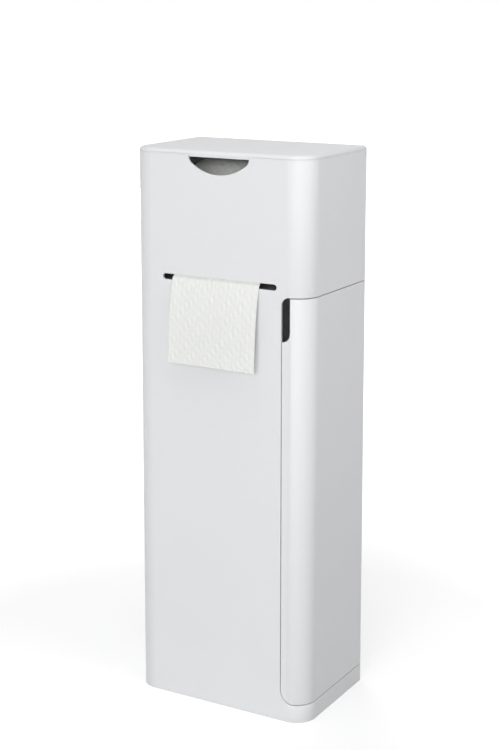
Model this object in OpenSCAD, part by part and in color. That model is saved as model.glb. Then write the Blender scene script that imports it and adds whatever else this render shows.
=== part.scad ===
// Slim free-standing toilet accessory stand.
// A toilet roll turns in the top compartment under a hinged lid and feeds out
// through a slot in the front. A tall corner door on the right opens the lower
// bay, which holds a brush in its cup and room for spare rolls.
// Front is -Y, the door is on +X, up is +Z, the origin is on the floor under
// the middle of the body.

/* [Body] */
// Width across the front
body_w = 200; // [190:1:230]
// Depth from front to back
body_d = 128; // [124:1:150]
// Height from the floor to the top of the lid
body_h = 570; // [520:1:620]
// Thickness of the moulded walls
wall = 2.5; // [2:0.1:3]
// Radius of the two tall front corners
front_r = 22; // [16:1:28]
// Radius of the two tall rear corners and of the hinge barrels in them
rear_r = 4; // [4:0.5:6]
// Thickness of the lid, which is also the radius of its rounded rim
lid_t = 4; // [4:0.5:6]
// Height of the skirt inside the lid's rim
lid_skirt_h = 2.6; // [2:0.2:5]
// Open seam between the lid and the walls under it
lid_seam = 0.15; // [0.1:0.05:0.8]

/* [Front openings] */
// Sideways place of the notch and slot, from the middle of the front
openings_x = 1.5; // [-5:0.5:5]
// Width of the finger notch along the seam
notch_w = 68.5; // [50:0.5:80]
// Depth of the finger notch below the seam
notch_h = 19.5; // [12:0.5:22]
// Radius of the two round ends of the finger notch
notch_end_r = 8; // [4:0.5:12]
// Length of the paper slot from end to end
slot_l = 130; // [122:1:140]
// Height of the paper slot
slot_h = 6; // [5.6:0.2:8]
// Distance of the middle of the slot below the top of the body
slot_drop = 128; // [124:0.5:129]

/* [Door] */
// Distance of the gap line above the door below the top of the body
split_drop = 137.3; // [136:0.1:144]
// Height of the gap line under the door, at the top of the plinth
plinth_z = 18.75; // [16:0.25:26]
// Distance of the door's left gap from the right side of the body
door_strip_w = 28; // [26:0.5:32]
// Width of the open gap round the door
door_gap = 1; // [0.8:0.1:1.4]
// Width of the grip opening beside the door's top corner
grip_w = 9.5; // [8:0.5:12]
// Height of the grip opening
grip_h = 44; // [34:1:60]
// Radius of the grip opening's two round corners
grip_r = 8.5; // [4:0.5:9]
// Radius of the door's lower front corner
door_corner_r = 14; // [6:1:18]

/* [Toilet roll] */
// Width of the roll, and of its paper
roll_w = 99; // [90:1:105]
// Outer diameter of the roll
roll_d = 112; // [95:1:114]
// Outer diameter of the cardboard core
core_d = 41; // [40:0.5:46]
// Wall of the cardboard core
core_t = 0.8; // [0.6:0.1:1.2]
// Outer diameter of the spindle
spindle_d = 38; // [30:0.5:38]
// Diameter of the spindle's end stubs
stub_d = 10; // [8:0.5:12]
// Sideways place of the roll on its spindle, from the middle of the slot
roll_shift = -3.9; // [-5:0.1:5]
// Clear space between the roll and the shelf under it
roll_lift = 7; // [2:0.2:8]
// Length of paper that hangs below the slot
hang_l = 85; // [60:1:120]
// How far the hanging paper stands off the front
hang_off = 10.5; // [6:0.5:14]
// Thickness of the paper
paper_t = 0.5; // [0.4:0.1:0.8]

/* [Brush] */
// Outer diameter of the brush cup
cup_d = 84; // [76:1:85]
// Height of the brush cup
cup_h = 68; // [60:1:75]
// Length of the brush from end to end
brush_l = 328; // [310:1:330]
// Diameter of the brush head
head_d = 66; // [56:1:70]
// Clear space between the brush head and the collar over it
head_room = 5.8; // [3:0.2:12]
// Number of soft fins round the head
head_fins = 14; // [10:1:20]
// Diameter of the brush handle
handle_d = 14; // [11:0.5:18]
// Thickness of the collar that covers the cup
collar_t = 2.5; // [2:0.1:4]

/* [Fittings] */
// Diameter of the steel hinge pins
pin_d = 3; // [2.5:0.1:3.4]
// Diameter of the screw shanks
screw_d = 3; // [2.5:0.1:3.5]
// Length of the screws
screw_l = 9; // [8:0.5:11]
// Diameter of the foot pads
pad_d = 16; // [12:1:20]
// Thickness of the foot pads
pad_t = 1.5; // [1:0.1:2]
// Width of the catch magnet
magnet_w = 9; // [8:0.5:10]
// Height of the catch magnet
magnet_h = 16; // [12:1:24]
// Height of the middle of the catch above the floor
catch_z = 226; // [120:1:320]
// Width of a lid hinge knuckle
knuckle_w = 8; // [6:0.5:12]
// Distance of each lid hinge knuckle from the middle
knuckle_x = 58; // [45:1:65]
// Length of each lid hinge pin
lid_pin_l = 48; // [40:1:56]
// Radial clearance of a pin that turns in its bore
run_fit = 0.05; // [0.02:0.01:0.08]
// Clearance between two pieces that are set together
seat_fit = 0.3; // [0.2:0.05:0.4]

/* [Hidden] */
$fn = 64;
eps = 0.5;
over = 1;

// Colours
white = [0.91, 0.91, 0.92];
inner_white = [0.86, 0.87, 0.88];
paper_white = [0.95, 0.95, 0.93];
card_brown = [0.68, 0.58, 0.46];
steel_grey = [0.72, 0.73, 0.75];
rubber_grey = [0.30, 0.31, 0.32];
silicone_grey = [0.62, 0.64, 0.66];

// Half sizes and outer faces
min_corner = 0.4;
half_w = body_w / 2;
half_d = body_d / 2;
front_in = -half_d + wall;
side_in = half_w - wall;
rear_in = half_d - wall;

// Levels from the floor up
seam_z = body_h - lid_t;
shell_top = seam_z - lid_seam;
split_z = body_h - split_drop;
slot_z = body_h - slot_drop;
opening_low = plinth_z - door_gap / 2;
opening_top = split_z + door_gap / 2;
door_low = plinth_z + door_gap / 2;
door_top = split_z - door_gap / 2;
shelf_low = opening_top + seat_fit;
shelf_t = 2.6;
shelf_top = shelf_low + shelf_t;
slot_top = slot_z + slot_h / 2;

// Finger notch: its ends are arcs about the level of the lip's edge, and a larger arc touches both
notch_end_x = notch_w / 2 - notch_end_r;
notch_end_z = seam_z - lid_skirt_h;
notch_fall = notch_h - lid_skirt_h;
notch_spare = notch_fall - notch_end_r;
notch_arc_r = (notch_end_x * notch_end_x + notch_fall * notch_fall - notch_end_r * notch_end_r) / (2 * notch_spare);
notch_join_x = notch_end_x * notch_arc_r / (notch_arc_r - notch_end_r);

// Hinge axes: the lid's runs along X, the door's stands in the right rear corner
lid_axis_y = half_d - lid_t;
lid_axis_z = seam_z;
door_axis_x = half_w - rear_r;
door_axis_y = half_d - rear_r;
pin_r = pin_d / 2;
pin_bore_r = pin_r + run_fit;
barrel_gap = seat_fit;

// The corner lugs that hold the door's pins
lug_size = 3 * rear_r;
lug_x = half_w - lug_size;
lug_y = half_d - lug_size;
lug_h = 12;
pin_reach = 12;
pin_head_r = 2.6;
pin_lift = 0.1;
pin_end = 0.3;
lid_pin_inset = 2;

// Door edge on the front face, with the opening's edge beside it
door_edge_x = half_w - door_strip_w + door_gap / 2;
opening_edge_x = door_edge_x - door_gap;
grip_edge_x = opening_edge_x + grip_w;
grip_low = opening_top - grip_h;
grip_corner_r = min(grip_r, grip_w - door_gap);

// The base: a closing plate, four lugs of the shell over it and a floor on top
base_t = 3;
base_lug_t = 2;
base_lug_w = 12;
base_lug_low = base_t + seat_fit;
base_lug_top = base_lug_low + base_lug_t;
floor_low = base_lug_top + seat_fit;
floor_t = 2.5;
base_inset = wall + seat_fit;
base_screw_x = 78;
base_screw_y = 40;
base_boss_r = 4.5;
door_flange_d = 12;
pad_x = 60;
pad_y = 46;

// The brush stands at the right of the bay, between four low ribs on the floor
rib_t = 2;
rib_w = 14;
rib_h = 5;
rib_turn = 45;
cup_r = cup_d / 2;
cup_t = 2.2;
cup_foot_r = 6;
cup_low = opening_low + seat_fit;
cup_top = cup_low + cup_h;
cup_off = 3.1;
brush_x = side_in - cup_r - cup_off;
brush_y = 2;
head_low = cup_low + cup_t + seat_fit;
head_r = head_d / 2;
head_round_r = 20;
head_floor_t = 6;
fin_t = 3;
stem_r = 6;
sleeve_r = 12;
collar_r = cup_r - 0.5;
collar_low = cup_top + seat_fit;
collar_dome_h = collar_t + 5;
collar_dome_w = 12;
head_l = collar_low - head_room - head_low;
handle_low = collar_low + collar_dome_h + run_fit;
brush_top = head_low + brush_l;
socket_r = 11;
socket_h = 16;
socket_rim = 2;
stem_top = collar_low + collar_t + socket_h;
stem_play = 2;
neck_h = 14;
divider_t = 2;
divider_h = 60;
divider_off = 5.1;
divider_inset = 14;
divider_x = brush_x - cup_r - divider_off;

// The roll and what carries it
roll_r = roll_d / 2;
roll_z = shelf_top + roll_lift + roll_r;
roll_y = 0;
roll_x = openings_x + roll_shift;
roll_edge = 0.2;
core_r = core_d / 2;
spindle_r = min(spindle_d / 2, core_r - core_t - run_fit);
spindle_t = 2;
stub_r = stub_d / 2;
cradle_room = 10.5;
cradle_in = roll_w / 2 + cradle_room;
cradle_t = 3.5;
cradle_foot = 13;
cradle_foot_t = 3;
cradle_base_w = 34;
cradle_head_r = stub_r + 5;
cradle_rise = 5;
cradle_rib_t = 2.5;
cradle_rib_h = 23;
cap_t = 3;
cap_plug_l = 8;
cap_play = 0.6;
stub_l = cradle_t + 2.5;
spindle_l = 2 * (cradle_in - cap_t - cap_play);

// Screws
screw_r = screw_d / 2;
screw_head_r = screw_r + 1.4;
screw_head_t = 1.5;
screw_hole_r = screw_r + run_fit;
short_screw_l = 5.4;
cross_l = 1.2 * screw_head_r;
cross_w = 0.7;
cross_d = 0.9;
boss = 10;

// Bosses for the back panel: heights on the left wall and on the upper right wall
bay_boss_low = 60;
bay_boss_step = 130;
bay_boss_n = 3;
top_boss_up = 30;
top_boss_drop = 40;
right_boss_z = [split_z + top_boss_up, seam_z - top_boss_drop];
left_boss_z = concat([for (i = [0 : bay_boss_n - 1]) bay_boss_low + i * bay_boss_step], right_boss_z);
back_boss_x = side_in - boss / 2;
base_back_x = 45;
base_back_z = 11;

// Bosses over the shelf
shelf_boss_x = side_in - boss / 2;
shelf_boss_y = [-30, 34];
shelf_boss_h = screw_l + 2;

// Lid: its skirt, the hollow under it and the lip over the notch
skirt_in = wall + seat_fit;
skirt_t = 2;
skirt_stop = 16;
lip_x = notch_w / 2 - seat_fit;
lip_set = 0.3;

// Door: its two stiffening ribs
door_rib_t = 2;
door_rib_w = 2.5;
door_rib_start = 2;
door_rib_stop = 6;

// Catch behind the door's front strip
catch_face_y = front_in + 3.4;
catch_set = 0.1;
catch_air = 0.4;
strike_t = 1;
strike_set = 0.5;
strike_over = 1;
strike_pad_over = 2;
magnet_t = 4;
catch_h = magnet_h + 10;
catch_l = 30;
catch_t = 8;
catch_tab_l = 10.5;
catch_tab_w = 15;
screw_skin = 0.9;
catch_tab_y = front_in - wall + screw_skin + screw_l;
catch_back_y = catch_face_y + catch_t;
catch_pad_y = catch_face_y - catch_air - strike_t;
strike_x = door_edge_x + strike_set;
catch_x = opening_edge_x - catch_tab_w - 1;

// Helpers

// Outline of the body from above, drawn in by an inset
module plan(inset = 0) {
  hw = half_w - inset;
  hd = half_d - inset;
  rf = front_r - inset;
  rb = max(rear_r - inset, min_corner);
  translate([-hw, -hd + rf]) square([2 * hw, 2 * hd - rf - rb]);
  translate([-hw + rf, -hd]) square([2 * (hw - rf), 2 * hd - rb]);
  translate([-hw + rb, 0]) square([2 * (hw - rb), hd]);
  for (s = [-1, 1]) {
    translate([s * (hw - rf), -hd + rf]) circle(r = rf);
    translate([s * (hw - rb), hd - rb]) circle(r = rb);
  }
}

// The outline as a slab between two levels
module slab(z0, z1, inset = 0) {
  translate([0, 0, z0]) linear_extrude(z1 - z0) plan(inset);
}

// A box between two corners
module block(a, b) {
  translate(a) cube(b - a);
}

// A cylinder along X from x0 to x1
module rod_x(x0, x1, y, z, r) {
  translate([x0, y, z]) rotate([0, 90, 0]) cylinder(h = x1 - x0, r = r);
}

// A cylinder standing between two levels
module post(x, y, z0, z1, r) {
  translate([x, y, z0]) cylinder(h = z1 - z0, r = r);
}

// A countersunk screw pointing along +Z, its head flush at the origin
module screw(l = screw_l) {
  difference() {
    union() {
      cylinder(h = screw_head_t, r1 = screw_head_r, r2 = screw_r);
      cylinder(h = l, r = screw_r);
    }
    for (a = [0, 90]) rotate(a) block([-cross_l / 2, -cross_w / 2, -eps], [cross_l / 2, cross_w / 2, cross_d]);
  }
}

// The hole for that screw
module screw_hole(l = screw_l) {
  wide_r = screw_head_r + 2 * run_fit;
  translate([0, 0, -run_fit]) cylinder(h = screw_head_t + run_fit, r1 = wide_r, r2 = screw_hole_r);
  translate([0, 0, -eps]) cylinder(h = eps + run_fit, r = wide_r);
  cylinder(h = l + seat_fit, r = screw_hole_r);
}

// Places of the screws: each draws its children there, pointing the right way
module at_back_screws() {
  for (z = left_boss_z) translate([-back_boss_x, half_d, z]) rotate([90, 0, 0]) children();
  for (z = right_boss_z) translate([back_boss_x, half_d, z]) rotate([90, 0, 0]) children();
  for (s = [-1, 1]) translate([s * base_back_x, half_d, base_back_z]) rotate([90, 0, 0]) children();
}
module at_shelf_screws() {
  for (s = [-1, 1], y = shelf_boss_y) translate([s * shelf_boss_x, y, shelf_low]) children();
}
module at_cradle_screws() {
  foot_mid = cradle_in + cradle_t + cradle_foot / 2;
  for (s = [-1, 1], y = [-1, 1])
    translate([openings_x + s * foot_mid, roll_y + y * cradle_base_w / 3, shelf_low]) children();
}
module at_base_screws() {
  for (x = [-1, 1], y = [-1, 1]) translate([x * base_screw_x, y * base_screw_y, 0]) children();
}
module at_catch_screws() {
  for (s = [-1, 1]) translate([catch_x + catch_tab_l / 2, catch_tab_y, catch_z + s * catch_h / 4])
    rotate([90, 0, 0]) children();
}

// The doorway: across the corner and the whole right side
module doorway() {
  x1 = half_w + over;
  top_r = grip_corner_r;
  low_r = door_corner_r + door_gap;
  // Front part, seen from the front, with its two round corners
  translate([0, -front_r, 0]) rotate([90, 0, 0]) linear_extrude(half_d + over) difference() {
    translate([opening_edge_x, opening_low]) square([x1 - opening_edge_x, opening_top - opening_low]);
    translate([opening_edge_x, opening_top - top_r]) difference() {
      square([top_r, top_r]);
      translate([top_r, 0]) circle(r = top_r);
    }
    translate([opening_edge_x, opening_low]) difference() {
      square([low_r, low_r]);
      translate([low_r, low_r]) circle(r = low_r);
    }
  }
  // Side part
  block([side_in - front_r, -front_r - eps, opening_low], [x1, half_d + over, opening_top]);
}

// Space of the finger notch through the front wall
module notch_space() {
  intersection() {
    notch_rod(0, seam_z - notch_h + notch_arc_r, notch_arc_r);
    notch_block(notch_join_x, seam_z - notch_h - over);
  }
  for (s = [-1, 1])
    notch_rod(s * notch_end_x, notch_end_z, notch_end_r);
  notch_block(notch_w / 2, notch_end_z);
}
module notch_rod(x, z, r) {
  translate([openings_x + x, -half_d - over, z]) rotate([-90, 0, 0]) cylinder(h = wall + 2 * over, r = r);
}
module notch_block(x, z) {
  block([openings_x - x, -half_d - over, z], [openings_x + x, front_in + over, seam_z + over]);
}

// The space in which the lid's rear barrel turns
module barrel_space() {
  rod_x(-half_w - over, half_w + over, lid_axis_y, lid_axis_z, lid_t + barrel_gap);
}

// A block inside a side wall, from x0 out to the wall and between two points of Y and Z
module side_block(side, x0, a, b) {
  mirror([side < 0 ? 1 : 0, 0, 0]) block([x0, a.x, a.y], [side_in + eps, b.x, b.y]);
}

// Housing shell: front, left side, upper right side and plinth in one piece
module housing_shell() {
  lug_half = base_lug_w / 2;
  boss_half = boss / 2;
  boss_in = side_in - boss;
  color(white) difference() {
    union() {
      difference() {
        slab(0, shell_top);
        slab(-over, shell_top + over, wall);
        block([-side_in, rear_in - eps, -over], [side_in, half_d + over, shell_top + over]);
        doorway();
      }
      // Lugs that the base plate and the floor are screwed together through
      for (s = [-1, 1], y = [-base_screw_y, base_screw_y])
        side_block(s, base_screw_x - lug_half, [y - lug_half, base_lug_low], [y + lug_half, base_lug_top]);
      // Lugs for the door's pins
      intersection() {
        slab(0, opening_low);
        block([lug_x, lug_y, 0], [half_w, half_d, opening_low]);
      }
      intersection() {
        slab(opening_top, opening_top + lug_h);
        block([lug_x, lug_y, opening_top], [half_w, half_d, opening_top + lug_h]);
      }
      // Bosses for the back panel and the shelf
      for (z = left_boss_z)
        side_block(-1, boss_in, [rear_in - screw_l, z - boss_half], [rear_in - seat_fit, z + boss_half]);
      for (z = right_boss_z)
        side_block(1, boss_in, [rear_in - screw_l, z - boss_half], [rear_in - seat_fit, z + boss_half]);
      for (s = [-1, 1], y = shelf_boss_y)
        side_block(s, boss_in, [y - boss_half, shelf_top + seat_fit], [y + boss_half, shelf_top + shelf_boss_h]);
    }
    // Paper slot with round ends
    translate([openings_x, -half_d - over, slot_z]) rotate([-90, 0, 0]) linear_extrude(wall + 2 * over) {
      square([slot_l - slot_h, slot_h], center = true);
      for (s = [-1, 1]) translate([s * (slot_l - slot_h) / 2, 0]) circle(r = slot_h / 2);
    }
    notch_space();
    barrel_space();
    post(door_axis_x, door_axis_y, opening_low - pin_reach, opening_low + over, pin_bore_r);
    post(door_axis_x, door_axis_y, opening_top - over, opening_top + lug_h + eps, pin_bore_r);
    at_back_screws() screw_hole();
    at_shelf_screws() screw_hole();
    at_base_screws() screw_hole();
    at_catch_screws() screw_hole();
  }
}

// Back panel with the lid's hinge knuckles along its top
module back_panel() {
  right_edge = door_axis_x - rear_r - 2 * barrel_gap;
  lug_room_top = opening_top + lug_h + seat_fit;
  color(white) difference() {
    union() {
      difference() {
        intersection() {
          block([-side_in + seat_fit, rear_in, seat_fit], [side_in - seat_fit, half_d, shell_top]);
          slab(0, body_h);
        }
        barrel_space();
        block([right_edge, rear_in - over, 0], [half_w, half_d + over, lug_room_top]);
      }
      // Flange beside the door's barrel
      block([right_edge - wall, rear_in - door_flange_d, opening_low + seat_fit],
            [right_edge, rear_in + eps, shelf_low - seat_fit]);
      for (s = [-1, 1]) {
        rod_x(s * knuckle_x - knuckle_w / 2, s * knuckle_x + knuckle_w / 2, lid_axis_y, lid_axis_z, lid_t);
        block([s * knuckle_x - knuckle_w / 2, lid_axis_y, lid_axis_z - 2 * lid_t],
              [s * knuckle_x + knuckle_w / 2, half_d, lid_axis_z]);
      }
    }
    block([lug_x - seat_fit, rear_in - over, -over], [half_w, half_d + over, opening_low]);
    block([lug_x - seat_fit, rear_in - over, opening_top - seat_fit],
          [right_edge + over, half_d + over, lug_room_top]);
    rod_x(-half_w - over, half_w + over, lid_axis_y, lid_axis_z, pin_bore_r);
    at_back_screws() screw_hole();
  }
}

// Floor of the lower bay, with the ribs round the cup and the low divider
module base_floor() {
  rib_in = cup_r + seat_fit;
  color(inner_white) difference() {
    union() {
      slab(opening_low - floor_t, opening_low, base_inset);
      difference() {
        slab(floor_low, opening_low, base_inset);
        slab(floor_low - over, opening_low + over, base_inset + floor_t);
      }
      at_base_screws() post(0, 0, floor_low, opening_low, base_boss_r);
      for (x = [-base_back_x, base_back_x])
        block([x - boss / 2, rear_in - screw_l, floor_low], [x + boss / 2, half_d - base_inset, opening_low]);
      translate([brush_x, brush_y, 0]) for (i = [0 : 3]) rotate(rib_turn + i * 90)
        block([rib_in, -rib_w / 2, opening_low - eps], [rib_in + rib_t, rib_w / 2, opening_low + rib_h]);
      block([divider_x - divider_t / 2, -half_d + divider_inset, opening_low - eps],
            [divider_x + divider_t / 2, half_d - divider_inset, opening_low + divider_h]);
    }
    block([lug_x - seat_fit, lug_y - seat_fit, 0], [half_w, half_d, opening_low + over]);
    at_back_screws() screw_hole();
    at_base_screws() screw_hole();
  }
}

// Flat plate that closes the base from below
module base_plate() {
  color(inner_white) difference() {
    slab(0, base_t, base_inset);
    block([lug_x - seat_fit, lug_y - seat_fit, -over], [half_w, half_d, base_t + over]);
    at_base_screws() screw_hole();
    for (x = [-1, 1], y = [-1, 1]) post(x * pad_x, y * pad_y, -over, pad_t, pad_d / 2 + run_fit);
  }
}

// Four rubber pads let into the base plate
module foot_pads() {
  color(rubber_grey) for (x = [-1, 1], y = [-1, 1]) post(x * pad_x, y * pad_y, 0, pad_t - run_fit, pad_d / 2);
}

// Shelf under the roll
module roll_shelf() {
  color(inner_white) difference() {
    slab(shelf_low, shelf_top, base_inset);
    block([lug_x - seat_fit, lug_y - seat_fit, shelf_low - over], [half_w, half_d, shelf_top + over]);
    at_shelf_screws() screw_hole();
    at_cradle_screws() screw_hole(short_screw_l);
  }
}

// One bracket that carries an end of the spindle, drawn for the right side
module cradle() {
  x0 = cradle_in;
  x1 = cradle_in + cradle_t;
  foot_z = shelf_top;
  foot_top = foot_z + cradle_foot_t;
  arm_r = cradle_head_r;
  color(inner_white) difference() {
    union() {
      translate([x0, 0, 0]) rotate([90, 0, 90]) linear_extrude(cradle_t) difference() {
        union() {
          polygon([
            [roll_y - cradle_base_w / 2, foot_z], [roll_y + cradle_base_w / 2, foot_z],
            [roll_y + arm_r, roll_z], [roll_y - arm_r, roll_z]
          ]);
          translate([roll_y - arm_r, roll_z - eps]) square([2 * arm_r, cradle_rise + eps]);
        }
        translate([roll_y, roll_z]) circle(r = stub_r + run_fit);
        translate([roll_y - stub_r - run_fit, roll_z]) square([2 * (stub_r + run_fit), cradle_rise + over]);
      }
      block([x0, roll_y - cradle_base_w / 2, foot_z], [x1 + cradle_foot, roll_y + cradle_base_w / 2, foot_top]);
      translate([0, roll_y + cradle_rib_t / 2, 0]) rotate([90, 0, 0]) linear_extrude(cradle_rib_t)
        polygon([
          [x1 - eps, foot_top - eps], [x1 + cradle_foot, foot_top - eps], [x1 - eps, foot_top + cradle_rib_h]
        ]);
    }
    translate([-openings_x, 0, 0]) at_cradle_screws() screw_hole(short_screw_l);
  }
}
module cradle_right() {
  translate([openings_x, 0, 0]) cradle();
}
module cradle_left() {
  translate([openings_x, 0, 0]) mirror([1, 0, 0]) cradle();
}

// Hollow spindle, its two caps with their stubs, the core and the roll
module spindle_tube() {
  color(inner_white) difference() {
    rod_x(openings_x - spindle_l / 2, openings_x + spindle_l / 2, roll_y, roll_z, spindle_r);
    rod_x(openings_x - half_w, openings_x + half_w, roll_y, roll_z, spindle_r - spindle_t);
  }
}
module spindle_caps() {
  x0 = spindle_l / 2;
  color(white) translate([openings_x, 0, 0]) for (s = [0, 1]) mirror([s, 0, 0]) {
    rod_x(x0, x0 + cap_t, roll_y, roll_z, spindle_r);
    rod_x(x0 - cap_plug_l, x0 + cap_t, roll_y, roll_z, spindle_r - spindle_t - run_fit);
    rod_x(x0, x0 + cap_t + stub_l, roll_y, roll_z, stub_r);
  }
}
module roll_core() {
  color(card_brown) difference() {
    rod_x(roll_x - roll_w / 2, roll_x + roll_w / 2, roll_y, roll_z, core_r);
    rod_x(roll_x - roll_w, roll_x + roll_w, roll_y, roll_z, core_r - core_t);
  }
}
module toilet_roll() {
  color(paper_white) difference() {
    rod_x(roll_x - roll_w / 2 + roll_edge, roll_x + roll_w / 2 - roll_edge, roll_y, roll_z, roll_r);
    rod_x(roll_x - roll_w, roll_x + roll_w, roll_y, roll_z, core_r + run_fit);
  }
}

// The paper's route, seen from the side as points of Y and Z: straight down
// from the front of the roll, round through the slot and out into a soft hang
paper_room = 0.8;
turn_high = 4;
turn_sag = 0.4;
turn_pull = [0.7, -0.3];
turn_push = [-0.6, -1.7];
paper_in = [front_in + paper_t / 2 + paper_room, slot_top + turn_high];
paper_out = [-half_d, slot_z - turn_sag];
paper_c1 = [front_in + paper_t / 2, slot_top] + turn_pull;
paper_c2 = [front_in, slot_top] + turn_push;
hang_fall = 35;
paper_reach = [paper_in.x - roll_y, paper_in.y - roll_z];
paper_reach_l = norm(paper_reach);
leave_r = roll_r + paper_t / 2 + seat_fit;
leave_a = atan2(paper_reach.y, paper_reach.x) - acos(leave_r / paper_reach_l);
paper_leave = [roll_y + leave_r * cos(leave_a), roll_z + leave_r * sin(leave_a)];
function bezier(a, b, c, d, t) =
  pow(1 - t, 3) * a + 3 * t * pow(1 - t, 2) * b + 3 * t * t * (1 - t) * c + pow(t, 3) * d;
function hang(s) = [paper_out.x - hang_off * (1 - exp(-s / hang_fall)), paper_out.y - s];
turn_steps = 10;
hang_steps = 20;
paper_line = concat(
  [paper_leave],
  [for (i = [0 : turn_steps]) bezier(paper_in, paper_c1, paper_c2, paper_out, i / turn_steps)],
  [for (i = [1 : hang_steps]) hang(hang_l * i / hang_steps)]
);
function along(p, i) = let (a = p[max(i - 1, 0)], b = p[min(i + 1, len(p) - 1)]) (b - a) / norm(b - a);
function beside(p, i, off) = [p[i].x - off * along(p, i).y, p[i].y + off * along(p, i).x];

// Hanging paper, one sheet from the roll to its lower edge
module paper_sheet() {
  n = len(paper_line);
  color(paper_white) translate([roll_x - roll_w / 2, 0, 0]) rotate([90, 0, 90]) linear_extrude(roll_w)
    polygon(concat(
      [for (i = [0 : n - 1]) beside(paper_line, i, paper_t / 2)],
      [for (i = [n - 1 : -1 : 0]) beside(paper_line, i, -paper_t / 2)]
    ));
}

// Lid: a plate with a round rim, a skirt inside it and a hinge barrel at the rear
module rim_profile(in_a, in_b) {
  intersection() {
    union() {
      translate([-in_a, 0]) square([in_a + in_b, lid_t]);
      translate([-in_a, 0]) circle(r = lid_t);
      translate([in_b, 0]) circle(r = lid_t);
    }
    translate([-in_a - lid_t, 0]) square([in_a + in_b + 2 * lid_t, lid_t]);
  }
}
module lid_plate() {
  in_w = half_w - lid_t;
  in_d = half_d - lid_t;
  flat_w = half_w - front_r;
  flat_d = half_d - front_r;
  translate([0, 0, seam_z]) {
    translate([-flat_w, 0, 0]) rotate([90, 0, 90]) linear_extrude(2 * flat_w) rim_profile(in_d, in_d);
    translate([0, in_d, 0]) rotate([90, 0, 0]) linear_extrude(in_d + flat_d) rim_profile(in_w, in_w);
    translate([-in_w, 0, 0]) rotate([90, 0, 90]) linear_extrude(2 * in_w) rim_profile(0, in_d);
    for (s = [-1, 1]) {
      translate([s * flat_w, -flat_d, 0]) rotate_extrude() intersection() {
        rim_profile(0, front_r - lid_t);
        square([front_r, lid_t]);
      }
      translate([s * in_w, in_d, 0]) rotate_extrude() intersection() {
        circle(r = lid_t);
        square(lid_t);
      }
    }
  }
}
module lid() {
  skirt_low = seam_z - lid_skirt_h;
  cut_x = knuckle_w / 2 + seat_fit;
  color(white) difference() {
    union() {
      lid_plate();
      // Lower half of the barrel, cut to the outline of the body at its ends
      intersection() {
        rod_x(-half_w, half_w, lid_axis_y, lid_axis_z, lid_t);
        slab(seam_z - lid_t, seam_z + eps);
      }
      difference() {
        slab(skirt_low, seam_z + eps, skirt_in);
        slab(skirt_low - over, seam_z + over, skirt_in + skirt_t);
        block([-half_w, half_d - skirt_stop, skirt_low - over], [half_w, half_d, seam_z + over]);
      }
      // Lip that closes the top of the finger notch, flush with the front
      block([openings_x - lip_x, -half_d + lip_set, skirt_low],
            [openings_x + lip_x, front_in + over, seam_z + eps]);
    }
    // Shallow hollow under the plate
    difference() {
      slab(seam_z - over, seam_z + lid_t - wall, skirt_in + skirt_t);
      block([-half_w, half_d - 3 * lid_t, 0], [half_w, half_d, body_h]);
    }
    for (s = [-1, 1])
      block([s * knuckle_x - cut_x, lid_axis_y - lid_t - 2 * seat_fit, seam_z - lid_t - over],
            [s * knuckle_x + cut_x, half_d + over, body_h + over]);
    rod_x(-half_w - over, half_w + over, lid_axis_y, lid_axis_z, pin_bore_r);
  }
}

// Two steel pins, each through a knuckle and the barrel on both sides of it
module lid_pins() {
  color(steel_grey) for (s = [0, 1]) mirror([s, 0, 0])
    rod_x(half_w - lid_pin_inset - lid_pin_l, half_w - lid_pin_inset, lid_axis_y, lid_axis_z, pin_r);
}

// Corner door: front strip, round corner and right side on a rear barrel
module door() {
  corner_r = grip_corner_r;
  color(white) difference() {
    union() {
      translate([0, 0, door_low]) linear_extrude(door_top - door_low) {
        intersection() {
          difference() {
            plan(0);
            plan(wall);
          }
          translate([door_edge_x, -half_d]) square([half_w, half_d + door_axis_y]);
        }
        translate([door_axis_x, door_axis_y]) circle(r = rear_r);
      }
      // Pad that carries the strike plate
      intersection() {
        block([door_edge_x, -half_d, catch_z - catch_h / 2],
              [strike_x + magnet_w + strike_pad_over, catch_pad_y, catch_z + catch_h / 2]);
        slab(door_low, door_top);
      }
      // Stiffening rib along the top and bottom edges
      for (z = [door_low, door_top - door_rib_t]) intersection() {
        difference() {
          slab(z, z + door_rib_t, wall - eps);
          slab(z - over, z + door_rib_t + over, wall + door_rib_w);
        }
        block([grip_edge_x + door_rib_start, -half_d, z],
              [half_w, door_axis_y - door_rib_stop, z + door_rib_t]);
      }
    }
    // Round lower corner of the front strip
    translate([door_edge_x, 0, door_low]) rotate([90, 0, 0]) linear_extrude(half_d + over) difference() {
      translate([-over, -over]) square([door_corner_r + over, door_corner_r + over]);
      translate([door_corner_r, door_corner_r]) circle(r = door_corner_r);
    }
    // Grip cut with its round inner corner
    translate([0, -front_r, 0]) rotate([90, 0, 0]) linear_extrude(half_d) {
      translate([door_edge_x - over, grip_low + corner_r]) square([grip_edge_x - door_edge_x + over, grip_h]);
      translate([door_edge_x - over, grip_low])
        square([grip_edge_x - corner_r - door_edge_x + over, grip_h]);
      translate([grip_edge_x - corner_r, grip_low + corner_r]) circle(r = corner_r);
    }
    for (z = [door_low, door_top]) post(door_axis_x, door_axis_y, z - pin_reach, z + pin_reach, pin_bore_r);
  }
}

// Pins of the door, the upper one dropped in from above, the lower one with a collar
module door_pin_upper() {
  color(steel_grey) post(door_axis_x, door_axis_y, door_top - pin_reach + pin_end, opening_top + lug_h, pin_r);
}
module door_pin_lower() {
  color(steel_grey) union() {
    post(door_axis_x, door_axis_y, opening_low - pin_reach + pin_end, door_low + pin_reach - pin_end, pin_r);
    post(door_axis_x, door_axis_y, opening_low + pin_lift, door_low - seat_fit, pin_head_r);
  }
}

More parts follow.
